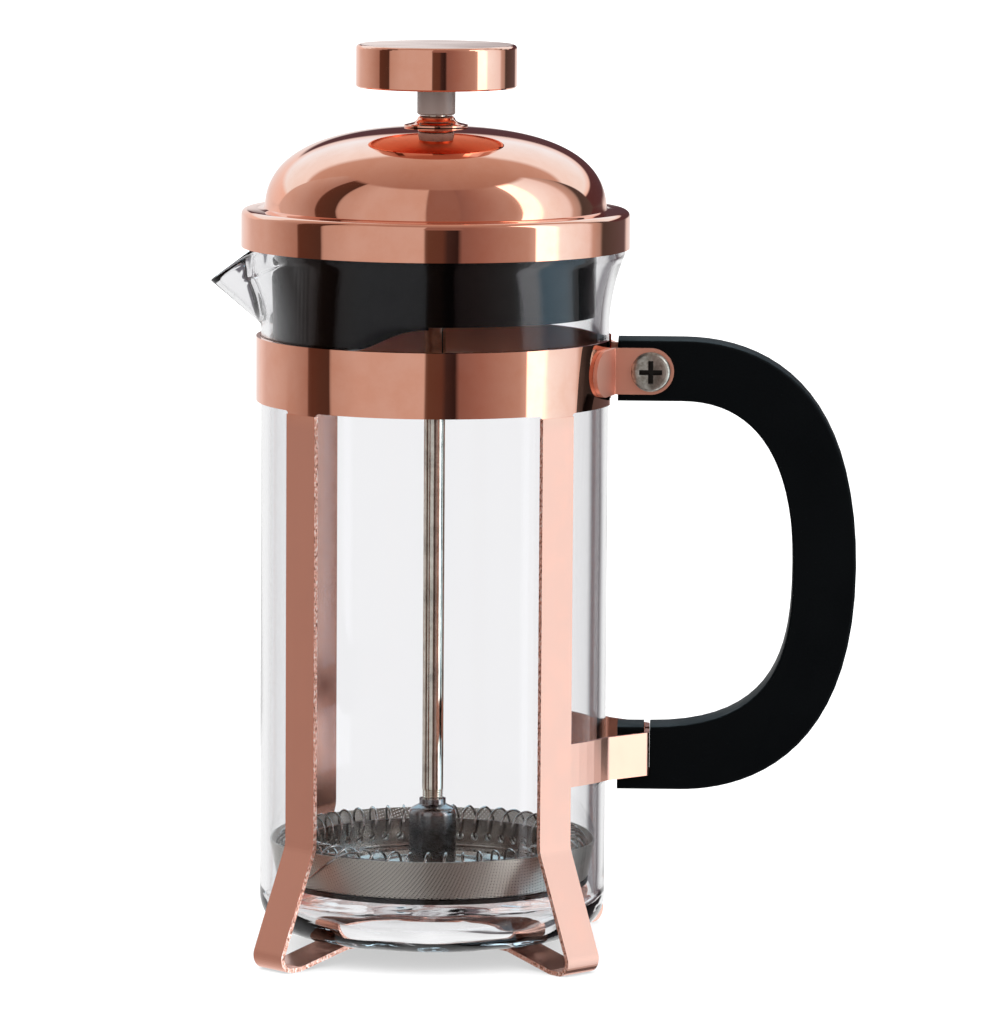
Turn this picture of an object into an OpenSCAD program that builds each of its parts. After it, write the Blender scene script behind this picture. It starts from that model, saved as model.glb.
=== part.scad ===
// French press: a glass beaker in a sheet-metal cage, with a domed lid and a filter plunger.
// Millimetres. +Z is up, the table is z = 0 and the beaker's axis is the Z axis.
// The handle points along +X and the spout along -X.

/* [Beaker] */
// Outside diameter of the straight part of the beaker
beaker_d = 70; // [60:0.5:100]
// Thickness of the glass wall
glass_wall = 1.7; // [1.2:0.1:3]
// Thickness of the glass floor
glass_floor = 3; // [2:0.5:6]
// Outside radius of the rounded edge round the floor
glass_edge_r = 7; // [3:0.5:12]
// Height of the underside of the glass above the table
seat_z = 3.8; // [3:0.1:6]
// Height of the rim above the table
rim_z = 147.6; // [125:0.1:220]
// How far the mouth flares out on each side
flare_out = 3.2; // [1:0.1:5]
// Height over which the wall curves outward
flare_h = 16; // [10:0.5:25]
// Height of the upright lip above the flare
lip_h = 6.6; // [4:0.1:10]
// How far the tip of the spout stands out beyond the beaker wall
spout_reach = 10.6; // [6:0.1:16]
// How far the tip of the spout lies below the rim
spout_drop = 12.2; // [10:0.1:16]
// Angle of the underside of the spout from the vertical
spout_lean = 50; // [40:1:58]
// Half angle of the cone that the spout is blown to
spout_half_angle = 25; // [15:1:32]
// Slope of the spout's edge down to the tip
spout_edge_slope = 35.4; // [25:0.1:45]

/* [Cage] */
// Thickness of the sheet metal
sheet = 0.9; // [0.6:0.1:1.5]
// Gap between the glass and the band on each side
band_gap = 0.1; // [0.05:0.05:0.5]
// Height of the band
band_h = 13; // [9.5:0.5:25]
// Distance from the rim down to the top of the band
band_below_rim = 23.2; // [23:0.1:40]
// Width of a leg
leg_w = 8.4; // [6:0.1:14]
// Angle between the handle and each leg beside it
leg_angle = 45; // [35:1:55]
// Outward lean of the lower part of a leg
leg_splay = 22; // [12:1:30]
// How far the outside of a foot stands out beyond the beaker wall
foot_out = 9.5; // [5:0.5:25]
// Inside radius of the fold of a foot
foot_bend_r = 2; // [1:0.1:3]
// Length of the flat that a foot stands on
foot_flat = 2; // [1:0.1:4]
// Rise of the folded part of a foot, back up to the glass
foot_rise = 13; // [8:1:20]
// Radius of the disc that joins the ends of the legs
base_disc_r = 13; // [10:0.5:20]
// Width of the two lower arms
arm_h = 8.7; // [6:0.1:12]
// Height of the lower edge of the lower arms above the table
arm_z = 36.4; // [33.8:0.1:60]
// Height of the lugs that hold the top of the handle
lug_h = 9.3; // [8.6:0.1:12]
// Angle that each lug reaches round the band
lug_reach = 27; // [22:1:35]

/* [Handle] */
// Thickness of the handle, across
handle_t = 11; // [8:0.5:16]
// Height of the handle's upper arm
handle_arm_h = 12.2; // [10:0.1:16]
// Height of the underside of the handle above the table
handle_bottom_z = 33.3; // [20:0.1:60]
// Height of the handle's lower arm at its end
handle_foot_h = 12.7; // [11:0.1:18]
// How far the outside of the handle stands out beyond the beaker wall
handle_out = 50.15; // [45:0.05:75]
// Width of the grip, seen from the side
handle_grip_w = 12.75; // [9:0.25:18]
// Gap between the cage's band and the end of the handle
handle_gap = 0.9; // [0.5:0.1:3]
// Width of the slot that takes the ends of the lower arms
slot_w = 1.6; // [1.2:0.1:3]
// Distance from the handle's lower end to the middle of the slot
slot_inset = 6; // [4:0.1:10]
// Diameter of the screw's shank
screw_d = 4; // [3:0.5:5]
// Diameter of the screw's head
screw_head_d = 7.9; // [6:0.1:9]
// Distance from the handle's upper end to the screw
screw_inset = 6.6; // [5:0.1:10]

/* [Lid] */
// Thickness of the lid's metal
lid_sheet = 0.6; // [0.4:0.1:1]
// Gap between the glass rim and the skirt on each side
skirt_gap = 0.26; // [0.2:0.02:1]
// Height of the skirt
skirt_h = 7.7; // [5:0.1:9]
// Width of the flat ledge between the skirt and the dome
ledge_w = 4.7; // [3:0.1:8]
// Height of the dome above the ledge
dome_h = 16.6; // [12:0.1:30]
// Thickness of the insert's flange, which lies on the rim
insert_flange_t = 1.8; // [1:0.1:3]
// Thickness of the insert's wall
insert_wall = 1.5; // [1:0.1:3]
// Gap between the insert and the glass on each side
insert_gap = 0.9; // [0.4:0.1:2]
// How far the insert's wall reaches down from the rim
insert_depth = 18.4; // [10:0.1:22]
// How much further the strainer tongue reaches down
tongue_depth = 5.2; // [2:0.1:8]
// Half of the angle that the tongue covers at full depth
tongue_half_angle = 57; // [40:1:65]
// Angle over which the tongue's edge curves up on each side
tongue_ramp = 20; // [8:1:24]
// Number of strainer ribs on the tongue
rib_count = 41; // [11:2:61]
// Half of the angle that the ribs cover
rib_half_angle = 42; // [20:1:50]
// Height of the collar on top of the dome
collar_h = 2.1; // [1.5:0.1:5]
// Radius of the collar at its foot
collar_r = 6.45; // [5.5:0.05:9]

/* [Plunger] */
// Diameter of the rod
rod_d = 4.3; // [4.3:0.1:6]
// Diameter of the rod's threaded ends
thread_d = 4; // [3:0.1:4.2]
// Running gap round the rod in the lid's guide
rod_fit = 0.08; // [0.03:0.01:0.1]
// Gap between a thread and its nut
thread_fit = 0.04; // [0.02:0.01:0.1]
// Height of the underside of the filter above the glass floor
filter_lift = 7.2; // [4:0.1:20]
// Gap between the mesh's rim and the glass on each side
filter_gap = 0.3; // [0.2:0.05:1]
// Height of the mesh dish
mesh_h = 7.9; // [5:0.1:12]
// Thickness of the woven mesh
mesh_t = 0.35; // [0.2:0.05:0.6]
// How far the mesh narrows from its rim to its floor on each side
mesh_taper = 1.4; // [0.5:0.1:3]
// Thickness of the plate under the mesh
cross_plate_t = 0.9; // [0.6:0.1:2]
// Diameter of the holes in the plate under the mesh
cross_hole_d = 5; // [3:0.5:7]
// Thickness of the spiral plate
spiral_plate_t = 0.7; // [0.4:0.1:1.2]
// Height of the spiral plate's up-turned rim
spiral_rim_h = 6.4; // [5:0.1:8]
// Number of turns of the coil, and of holes for them in the rim
coil_turns = 52; // [24:1:72]
// Outside diameter of the coil
coil_d = 7.1; // [5:0.1:8]
// Diameter of the coil's wire
wire_d = 0.5; // [0.3:0.05:0.8]
// Diameter of the holes that the coil is threaded through
coil_hole_d = 1.7; // [1:0.1:2.5]
// Diameter of the hub
hub_d = 9.6; // [8:0.1:14]
// Height of the hub
hub_h = 14.3; // [10:0.1:20]

/* [Knob] */
// Diameter of the knob
knob_d = 32.3; // [24:0.1:45]
// Height of the knob
knob_h = 8.6; // [7.5:0.1:16]
// Thickness of the knob's metal shell
knob_shell = 0.8; // [0.5:0.1:1.5]
// Radius of the knob's rounded edges
knob_edge_r = 0.8; // [0.5:0.1:2]
// Diameter of the stem under the knob
stem_d = 7.7; // [7:0.1:12]
// Height of the stem
stem_h = 5.5; // [3:0.1:15]
// Gap between the stem and the collar when the plunger is down
stem_gap = 0.2; // [0.1:0.1:1]

/* [Hidden] */
$fn = 96;
eps = 0.01;
beaker_r = beaker_d / 2;
bore_r = beaker_r - glass_wall;
lip_r = beaker_r + flare_out;
floor_z = seat_z + glass_floor;

band_in_r = beaker_r + band_gap;
band_out_r = band_in_r + sheet;
leg_mid_r = band_in_r + sheet / 2 + 0.1;
foot_reach = beaker_r + foot_out;
arm_arc_r = 1.4 * leg_mid_r;
band_top_z = rim_z - band_below_rim;
band_z = band_top_z - band_h;
foot_fold_r = foot_bend_r + sheet / 2;
web_r = 0.6;
leg_join = 1;
leg_top_z = band_z - web_r;
weld_gap = 0.03;
base_hole_r = 2.5;
leg_end_r = 6;

handle_face = handle_t / 2;
handle_end_x = band_out_r + handle_gap;
handle_foot_x = handle_end_x + 0.5;
handle_reach = beaker_r + handle_out;
handle_bend_x = handle_reach - 35.15;
handle_low_bend_x = handle_reach - 41.15;
handle_top_pull = 16.4;
handle_bottom_pull = 11;
handle_inner_pull = 26.4;
handle_under_pull = 13.3;
handle_top_z = band_top_z - 0.1;
handle_low_top_z = handle_bottom_z + handle_foot_h;
handle_mid_z = (handle_top_z + handle_bottom_z) / 2;
slot_x = handle_foot_x + slot_inset;
slot_z = arm_z - 0.3;
screw_x = handle_end_x + screw_inset;
screw_z = handle_top_z - handle_arm_h / 2;
screw_hole_r = screw_d / 2 + 0.15;
screw_head_h = 2.2;
screw_r = screw_d / 2;
lug_face = handle_face + sheet;
nut_t = 3.2;
nut_af = 7;

skirt_in_r = lip_r + skirt_gap;
skirt_out_r = skirt_in_r + lid_sheet;
ledge_z = rim_z + insert_flange_t + lid_sheet;
skirt_z = ledge_z - skirt_h;
dome_r = skirt_out_r - ledge_w;
dome_top_z = ledge_z + dome_h;
skirt_edge_r = 1.2;
insert_r = bore_r - insert_gap;
insert_z = rim_z - insert_depth;
insert_flange_r = skirt_in_r - 0.6;
insert_hub_r = 6.5;
insert_hub_h = 8;
insert_hub_z = dome_top_z - lid_sheet - 0.3 - insert_hub_h;
rib_t = 0.45;
rib_h = 0.3;
guide_shank_r = rod_d / 2 + 1.1;
guide_bore_r = rod_d / 2 + rod_fit;
guide_nut_t = 2.5;
guide_nut_af = 10;
collar_z = dome_top_z;
collar_top_z = collar_z + collar_h;
collar_top_r = 3.7;

rod_r = rod_d / 2;
thread_r = thread_d / 2;
nut_bore_r = thread_r + thread_fit;
cross_z = floor_z + filter_lift;
mesh_z = cross_z + cross_plate_t;
mesh_rim_r = bore_r - filter_gap;
mesh_foot_r = mesh_rim_r - mesh_taper;
spiral_z = mesh_z + mesh_t;
hub_z = spiral_z + spiral_plate_t;
hub_top_z = hub_z + hub_h;
hub_neck_r = thread_r + 0.7;
coil_gap = 0.75;
coil_r = mesh_rim_r - mesh_t - coil_gap - coil_d / 2;
coil_z = spiral_z + 5.35;
spiral_rim_r = coil_r - 2.1;
rod_bottom_z = hub_z + 6.5;
stud_top_z = hub_z + 5.5;
stud_head_r = 3.6;
stud_head_t = 1.2;
stem_z = collar_top_z + stem_gap;
knob_z = stem_z + stem_h;
knob_r = knob_d / 2;
knob_top_z = knob_z + knob_h;
core_r = knob_r - knob_shell;
core_z = knob_z + 0.8;
knob_nut_r = 3.4;
knob_nut_z = core_z + 0.6;
knob_nut_h = knob_h - knob_shell - 2.2;
rod_top_z = knob_nut_z + knob_nut_h;

copper = [0.83, 0.56, 0.46];
steel = [0.62, 0.61, 0.59];
black = [0.09, 0.09, 0.1];

// ---- outlines ----

// Unit vector at an angle
function way(a) = [cos(a), sin(a)];

// Points along an arc from angle a0 to a1
function arc(c, r, a0, a1, n = 10) =
    [for (i = [0 : n]) c + r * way(a0 + (a1 - a0) * i / n)];

// Points along a cubic curve, without its first point
function curve(p0, p1, p2, p3, n = 20) = [
    for (i = [1 : n])
        let (t = i / n, s = 1 - t)
        s * s * s * p0 + 3 * s * s * t * p1 + 3 * s * t * t * p2 + t * t * t * p3
];

// A folded strip's route is a list of steps [run, turn, bend radius], and a left turn is positive.
// One edge of the strip lies at `off` to the left of the middle line.
function strip_edge(p, heading, steps, off, i = 0) =
    i == len(steps)
    ? [p + off * way(heading + 90)]
    : let (
        run = steps[i][0],
        turn = steps[i][1],
        r = steps[i][2],
        side = turn < 0 ? -1 : 1,
        q = p + run * way(heading),
        c = q + side * r * way(heading + 90),
        a0 = heading - side * 90,
        n = max(1, ceil(abs(turn) / (r > 20 ? 3 : 9))),
        bend = turn == 0 ? [] : arc(c, r - side * off, a0, a0 + turn, n)
    )
    concat(
        [p + off * way(heading + 90)],
        bend,
        strip_edge(turn == 0 ? q : c + r * way(a0 + turn), heading + turn, steps, off, i + 1)
    );

// Where the middle line of a folded strip ends
function strip_end(p, heading, steps) = let (e = strip_edge(p, heading, steps, 0)) e[len(e) - 1];

function turned(list) = [for (i = [len(list) - 1 : -1 : 0]) list[i]];

module strip(p, heading, steps, t) {
    polygon(concat(
        strip_edge(p, heading, steps, t / 2),
        turned(strip_edge(p, heading, steps, -t / 2))
    ));
}

module ring(r_in, r_out, h) {
    difference() {
        cylinder(r = r_out, h = h);
        translate([0, 0, -1]) cylinder(r = r_in, h = h + 2);
    }
}

// ---- cage: band, legs and arms, stamped from one sheet ----

// The leg's route in the plane of its radius, from the band down, out, under and back in
knee_drop = (foot_reach - sheet / 2 - foot_fold_r * (1 - cos(leg_splay)) - leg_mid_r)
    / tan(leg_splay);
foot_top_z = sheet / 2 + foot_fold_r * (1 + sin(leg_splay));
knee_r = 6;
knee_cut = knee_r * tan(leg_splay / 2);
return_run = (seat_z - sheet) / sin(foot_rise);
leg_steps = [
    [leg_top_z - foot_top_z - knee_drop - knee_cut, leg_splay, knee_r],
    [knee_drop / cos(leg_splay) - knee_cut, leg_splay - 90 - 2 * leg_splay, foot_fold_r],
    [foot_flat, -foot_rise, foot_fold_r],
    [return_run - 2 * foot_fold_r * tan(foot_rise / 2), foot_rise, foot_fold_r]
];
leg_turn = strip_end([leg_mid_r, leg_top_z], -90, leg_steps);
leg_full = concat(leg_steps, [[leg_turn[0] - leg_end_r, 0, 0]]);

module leg() {
    rotate([90, 0, 0])
        translate([0, 0, -leg_w / 2])
            linear_extrude(height = leg_w)
                strip([leg_mid_r, leg_top_z], -90, leg_full, sheet);
}

// The outline of the opening between two legs, with a rounded corner under the band
module window_cut(half_angle) {
    edge_y = band_out_r * sin(half_angle - asin(leg_w / 2 / band_out_r));
    low_z = leg_top_z - leg_join - 1;
    polygon(concat(
        [[-edge_y, low_z]],
        arc([-edge_y + web_r, band_z - web_r], web_r, 180, 90, 6),
        arc([edge_y - web_r, band_z - web_r], web_r, 90, 0, 6),
        [[edge_y, low_z]]
    ));
}

module band() {
    gap_y = handle_face + sheet + 0.2;
    difference() {
        translate([0, 0, leg_top_z - leg_join])
            ring(band_in_r, band_out_r, band_top_z - leg_top_z + leg_join);
        for (side = [0, 90, 180, 270])
            rotate([0, 0, side])
                rotate([90, 0, 90])
                    linear_extrude(height = beaker_d)
                        window_cut(side % 180 == 0 ? leg_angle : 90 - leg_angle);
        translate([beaker_r - 5, -gap_y, band_z - 1]) cube([10, 2 * gap_y, band_h + 2]);
    }
}

// The lower arm's route, seen from above: round the glass, out to the handle, and into its slot
arm_heading = 40;
arm_bend = 58;
arm_start = [leg_mid_r, leg_w / 2 - 1];
arm_lead = [
    [1, arm_bend + leg_angle - 90, arm_arc_r],
    [0, arm_heading - arm_bend, 2.4]
];
arm_hook = [0, 90 - arm_heading, 0.9];
arm_free = strip_end(
    [arm_start[0] * cos(leg_angle) + arm_start[1] * sin(leg_angle),
     arm_start[1] * cos(leg_angle) - arm_start[0] * sin(leg_angle)],
    90 - leg_angle,
    concat(arm_lead, [arm_hook])
);
arm_run = (slot_x - arm_free[0]) / cos(arm_heading);
arm_hook_y = arm_free[1] + arm_run * sin(arm_heading);
arm_steps = concat(arm_lead, [[arm_run, arm_hook[1], arm_hook[2]], [-arm_hook_y - 1.2, 0, 0]]);

module arm() {
    translate([0, 0, arm_z])
        linear_extrude(height = arm_h)
            strip(arm_start, 90, arm_steps, sheet);
}

module frame_cage() {
    color(copper) {
        band();
        for (a = [leg_angle, 180 - leg_angle, 180 + leg_angle, 360 - leg_angle])
            rotate([0, 0, a]) leg();
        rotate([0, 0, -leg_angle]) arm();
        mirror([0, 1, 0]) rotate([0, 0, -leg_angle]) arm();
    }
}

module base_disc() {
    color(copper)
        translate([0, 0, seat_z - 2 * sheet])
            ring(base_hole_r, base_disc_r, sheet);
}

// ---- lugs: straps welded on the band and screwed to the handle ----

lug_mid_r = band_out_r + weld_gap + sheet / 2;
lug_bend_r = 0.2 + sheet / 2;
lug_y = handle_face + sheet / 2;
lug_bend_angle = asin((lug_y + lug_bend_r) / (lug_mid_r + lug_bend_r));
lug_round = lug_h / 2;
lug_bend_x = (lug_mid_r + lug_bend_r) * cos(lug_bend_angle);

// A straight tab with one round end at the origin, its length along -X
module round_tab() {
    circle(r = lug_round);
    translate([-beaker_d, -lug_round]) square([beaker_d, lug_h]);
}

module lug() {
    difference() {
        intersection() {
            translate([0, 0, screw_z - lug_h])
                linear_extrude(height = 2 * lug_h)
                    strip(
                        lug_mid_r * way(-lug_reach),
                        90 - lug_reach,
                        [
                            [0, lug_reach - lug_bend_angle, lug_mid_r],
                            [0, lug_bend_angle - 90, lug_bend_r],
                            [screw_x + lug_round + 1 - lug_bend_x, 0, 0]
                        ],
                        sheet
                    );
            translate([screw_x, 0, screw_z])
                rotate([90, 0, 0]) linear_extrude(height = beaker_d) round_tab();
            rotate([0, 0, -lug_reach])
                translate([0, lug_round, screw_z])
                    rotate([90, 0, 90]) mirror([1, 0, 0])
                        linear_extrude(height = 2 * beaker_d) round_tab();
        }
        translate([screw_x, 0, screw_z]) rotate([90, 0, 0]) cylinder(r = screw_hole_r, h = beaker_d);
    }
}

module lug_front() {
    color(copper) lug();
}

module lug_rear() {
    color(copper) mirror([0, 1, 0]) lug();
}

// ---- handle and its fastener ----

module handle_outline() {
    out_x = handle_reach;
    in_x = handle_reach - handle_grip_w;
    foot_x = handle_foot_x;
    bend_x = handle_bend_x;
    low_x = handle_low_bend_x;
    arm_low_z = handle_top_z - handle_arm_h;
    upper = handle_top_z - handle_mid_z;
    polygon(concat(
        [[handle_end_x, arm_low_z], [handle_end_x, handle_top_z], [bend_x, handle_top_z]],
        curve([bend_x, handle_top_z], [bend_x + handle_top_pull, handle_top_z],
              [out_x, handle_mid_z + 0.8 * upper], [out_x, handle_mid_z]),
        curve([out_x, handle_mid_z], [out_x, handle_mid_z - 0.9 * upper],
              [bend_x + handle_bottom_pull, handle_bottom_z], [bend_x, handle_bottom_z]),
        [[foot_x, handle_bottom_z], [foot_x, handle_low_top_z], [low_x, handle_low_top_z]],
        curve([low_x, handle_low_top_z], [low_x + handle_inner_pull, handle_low_top_z],
              [in_x, handle_mid_z - 0.36 * upper], [in_x, handle_mid_z]),
        curve([in_x, handle_mid_z], [in_x, handle_mid_z + 0.52 * upper],
              [bend_x + handle_under_pull, arm_low_z], [bend_x, arm_low_z])
    ));
}

module handle() {
    color(black)
        difference() {
            translate([0, handle_face, 0])
                rotate([90, 0, 0])
                    linear_extrude(height = handle_t) handle_outline();
            translate([slot_x - slot_w / 2, -handle_t, slot_z])
                cube([slot_w, 2 * handle_t, handle_t + handle_foot_h]);
            translate([screw_x, handle_t, screw_z])
                rotate([90, 0, 0]) cylinder(r = screw_hole_r, h = 2 * handle_t);
        }
}

module handle_screw() {
    head_r = screw_head_d / 2;
    shank = 2 * lug_face + nut_t + 0.8;
    arm_w = 0.9;
    arm_l = 4.6;
    depth = 1.5;
    color(steel)
        translate([screw_x, -lug_face, screw_z])
            rotate([90, 0, 0])
                difference() {
                    rotate_extrude()
                        polygon(concat(
                            [[0, -shank], [screw_r, -shank], [screw_r, 0], [head_r, 0], [head_r, 1]],
                            curve([head_r, 1], [head_r - 0.3, 1.8], [head_r / 2, screw_head_h],
                                  [0, screw_head_h], 8)
                        ));
                    for (a = [0, 90])
                        rotate([0, 0, a])
                            translate([-arm_l / 2, -arm_w / 2, screw_head_h - depth])
                                cube([arm_l, arm_w, depth + 1]);
                }
}

module handle_nut() {
    color(steel)
        translate([screw_x, lug_face + nut_t, screw_z])
            rotate([90, 0, 0])
                difference() {
                    cylinder(d = nut_af / cos(30), h = nut_t, $fn = 6);
                    translate([0, 0, -1]) cylinder(r = screw_r + thread_fit, h = nut_t + 2);
                }
}

// ---- beaker ----

// The wall's outline from the floor's edge up to the rim, for the outside or the bore
flare_r = (flare_h * flare_h + flare_out * flare_out) / (2 * flare_out);
flare_angle = acos(1 - 0.95 * flare_out / flare_r);
flare_z = rim_z - lip_h - flare_r * sin(flare_angle);

module beaker_outline(inset, edge_r, base_z) {
    r = beaker_r - inset;
    polygon(concat(
        [[0, base_z]],
        arc([r - edge_r, base_z + edge_r], edge_r, -90, 0),
        arc([r + flare_r, flare_z], flare_r, 180, 180 - flare_angle),
        curve(
            [r + flare_r * (1 - cos(flare_angle)), rim_z - lip_h],
            [r + 0.99 * flare_out, rim_z - lip_h + 0.4],
            [r + flare_out, rim_z - lip_h + 0.8],
            [r + flare_out, rim_z - lip_h + 2],
            6
        ),
        [[r + flare_out, rim_z], [0, rim_z]]
    ));
}

// The spout is a cone leaning out through the wall, and its edge is cut down to the tip.
spout_tip = [-(beaker_r + spout_reach), rim_z - spout_drop];
spout_root_x = -beaker_r + glass_wall / 2;
spout_root_z = spout_tip[1] - (spout_root_x - spout_tip[0]) / tan(spout_lean);

module spout_cone(inset) {
    h = 1.6 * (spout_reach + glass_wall);
    lean = spout_lean - spout_half_angle;
    translate([spout_root_x, 0, spout_root_z])
        rotate([0, -lean, 0])
            translate([0, 0, inset / sin(spout_half_angle)])
                rotate([0, 0, 90]) cylinder(r1 = 0, r2 = h * tan(spout_half_angle), h = h);
}

module glass_beaker() {
    color([0.85, 0.9, 0.92, 0.35])
        difference() {
            union() {
                rotate_extrude() beaker_outline(0, glass_edge_r, seat_z);
                spout_cone(0);
            }
            difference() {
                rotate_extrude() beaker_outline(glass_wall, glass_edge_r - glass_wall, floor_z);
                translate([0, 0, rim_z - eps]) cylinder(r = eps, h = 1);
            }
            spout_cone(glass_wall * 0.8);
            translate([0, 0, rim_z - eps]) cylinder(r = lip_r - glass_wall, h = 1);
            translate([spout_tip[0], -beaker_d / 2, spout_tip[1]])
                rotate([0, -spout_edge_slope, 0])
                    translate([-10, 0, 0]) cube([10 + 2 * spout_reach + 60, beaker_d, 40]);
        }
}

// ---- lid ----

module lid_outline(inset) {
    r = skirt_out_r - inset;
    z = ledge_z - inset;
    edge = skirt_edge_r - inset;
    base = dome_r - inset;
    top = dome_top_z - inset;
    polygon(concat(
        [[0, skirt_z - (inset > 0 ? 1 : 0)], [r, skirt_z - (inset > 0 ? 1 : 0)]],
        arc([r - edge, z - edge], edge, 0, 90, 8),
        [[base, z]],
        curve([base, z], [base, z + 0.98 * dome_h], [0.24 * base, top], [0, top], 32)
    ));
}

module lid_dome() {
    color(copper)
        difference() {
            rotate_extrude()
                difference() {
                    lid_outline(0);
                    lid_outline(lid_sheet);
                }
            translate([0, 0, ledge_z]) cylinder(r = guide_shank_r + 0.1, h = 2 * dome_h);
        }
}

// The lower edge of the strainer tongue, seen from the spout: full depth, then an S-curve up
module tongue_outline() {
    n = 12;
    low = insert_z - tongue_depth;
    edge = [
        for (i = [0 : n])
            let (t = i / n, a = tongue_half_angle + tongue_ramp * t)
            [insert_r * sin(a), low + tongue_depth * t * t * (3 - 2 * t)]
    ];
    polygon(concat(
        edge,
        [[insert_r * sin(tongue_half_angle + tongue_ramp), insert_z + 1]],
        [[-insert_r * sin(tongue_half_angle + tongue_ramp), insert_z + 1]],
        [for (p = turned(edge)) [-p[0], p[1]]]
    ));
}

module lid_insert() {
    in_r = insert_r - insert_wall;
    flange_top = rim_z + insert_flange_t;
    web_z = insert_hub_z + 1.5;
    color(black) {
        rotate_extrude()
            polygon([
                [in_r, insert_z], [insert_r, insert_z], [insert_r, rim_z],
                [insert_flange_r, rim_z], [insert_flange_r, flange_top], [in_r, flange_top],
                [insert_hub_r, web_z], [insert_hub_r, insert_hub_z + insert_hub_h],
                [guide_shank_r + 0.1, insert_hub_z + insert_hub_h],
                [guide_shank_r + 0.1, insert_hub_z], [insert_hub_r, insert_hub_z],
                [in_r, flange_top - 1.5]
            ]);
        intersection() {
            translate([0, 0, insert_z - tongue_depth - 1])
                ring(in_r, insert_r, tongue_depth + 1 + eps);
            rotate([90, 0, -90])
                linear_extrude(height = beaker_d) tongue_outline();
        }
        for (i = [0 : rib_count - 1])
            rotate([0, 0, 180 - rib_half_angle + 2 * rib_half_angle * i / (rib_count - 1)])
                translate([insert_r - 0.3, -rib_t / 2, insert_z - tongue_depth + 0.8])
                    cube([0.3 + rib_h, rib_t, tongue_depth + 10]);
    }
}

module rod_guide() {
    color(copper)
        rotate_extrude()
            polygon(concat(
                [[guide_bore_r, insert_hub_z - guide_nut_t - 0.5]],
                [[guide_shank_r, insert_hub_z - guide_nut_t - 0.5], [guide_shank_r, collar_z]],
                [[collar_r, collar_z], [collar_r, collar_z + 0.3]],
                curve([collar_r, collar_z + 0.3], [collar_r - 1.2, collar_z + 0.7],
                      [collar_top_r + 0.3, collar_z + 0.6], [collar_top_r, collar_top_z - 0.4], 8),
                [[collar_top_r - 0.4, collar_top_z], [guide_bore_r, collar_top_z]]
            ));
}

module guide_nut() {
    color(steel)
        translate([0, 0, insert_hub_z - guide_nut_t])
            difference() {
                cylinder(d = guide_nut_af / cos(30), h = guide_nut_t, $fn = 6);
                translate([0, 0, -1]) cylinder(r = guide_shank_r + thread_fit, h = guide_nut_t + 2);
            }
}

// ---- plunger ----

module plunger_rod() {
    lower = hub_top_z + 1.8;
    upper = stem_z + 1;
    color(steel)
        rotate_extrude()
            polygon([
                [0, rod_bottom_z], [thread_r, rod_bottom_z], [thread_r, lower], [rod_r, lower + 0.2],
                [rod_r, upper], [thread_r, upper + 0.2], [thread_r, rod_top_z], [0, rod_top_z]
            ]);
}

module knob_cap() {
    edge = knob_edge_r;
    color(copper)
        rotate_extrude()
            difference() {
                polygon(concat(
                    [[0, knob_z], [knob_r - 0.3, knob_z], [knob_r, knob_z + 0.3]],
                    arc([knob_r - edge, knob_top_z - edge], edge, 0, 90, 8),
                    [[0, knob_top_z]]
                ));
                translate([-1, knob_z - 1]) square([core_r + 1, knob_h - knob_shell + 1]);
            }
}

module knob_core() {
    color([0.6, 0.6, 0.62])
        difference() {
            rotate_extrude()
                polygon([
                    [0, stem_z], [stem_d / 2 - 0.3, stem_z], [stem_d / 2, stem_z + 0.3],
                    [stem_d / 2, core_z], [core_r, core_z],
                    [core_r, knob_top_z - knob_shell], [0, knob_top_z - knob_shell]
                ]);
            translate([0, 0, stem_z - 1]) cylinder(r = rod_r + 0.1, h = knob_nut_z - stem_z + 1 + eps);
            translate([0, 0, knob_nut_z]) cylinder(r = knob_nut_r, h = knob_nut_h);
        }
}

module knob_insert() {
    color([0.8, 0.65, 0.3])
        translate([0, 0, knob_nut_z]) ring(nut_bore_r, knob_nut_r, knob_nut_h);
}

module filter_hub() {
    r = hub_d / 2;
    color(steel)
        rotate_extrude()
            polygon(concat(
                [[nut_bore_r, hub_z], [r, hub_z], [r, hub_top_z - 3]],
                curve([r, hub_top_z - 3], [r, hub_top_z - 1.6], [hub_neck_r + 0.4, hub_top_z - 1.6],
                      [hub_neck_r, hub_top_z - 1], 10),
                [[hub_neck_r, hub_top_z], [nut_bore_r, hub_top_z]]
            ));
}

// Two raised rings stiffen the plate, and the coil is threaded through the holes in its rim.
module spiral_plate() {
    t = spiral_plate_t;
    rim_top = spiral_z + spiral_rim_h;
    rise = 0.6;
    hole_z = coil_z - sqrt(pow((coil_d - wire_d) / 2, 2) - pow(coil_r - spiral_rim_r, 2));
    bump = [
        for (share = [0.42, 0.69])
            let (c = share * spiral_rim_r)
            each [[c - 2, 0], [c - 1, rise], [c + 1, rise], [c + 2, 0]]
    ];
    color(steel)
        difference() {
            rotate_extrude()
                polygon(concat(
                    [[nut_bore_r, spiral_z]],
                    [for (p = bump) [p[0], spiral_z + p[1]]],
                    arc([spiral_rim_r + t / 2 - 1.2, spiral_z + 1.2], 1.2, -90, 0, 6),
                    [[spiral_rim_r + t / 2, rim_top], [spiral_rim_r - t / 2, rim_top]],
                    arc([spiral_rim_r + t / 2 - 1.2, spiral_z + 1.2], 1.2 - t, 0, -90, 6),
                    [for (p = turned(bump)) [p[0], spiral_z + p[1] + t]],
                    [[nut_bore_r, spiral_z + t]]
                ));
            for (i = [0 : coil_turns - 1])
                rotate([0, 0, 360 * (i + 0.5) / coil_turns])
                    translate([spiral_rim_r - 2, 0, hole_z])
                        rotate([0, 90, 0]) cylinder(d = coil_hole_d, h = 4);
        }
}

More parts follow.
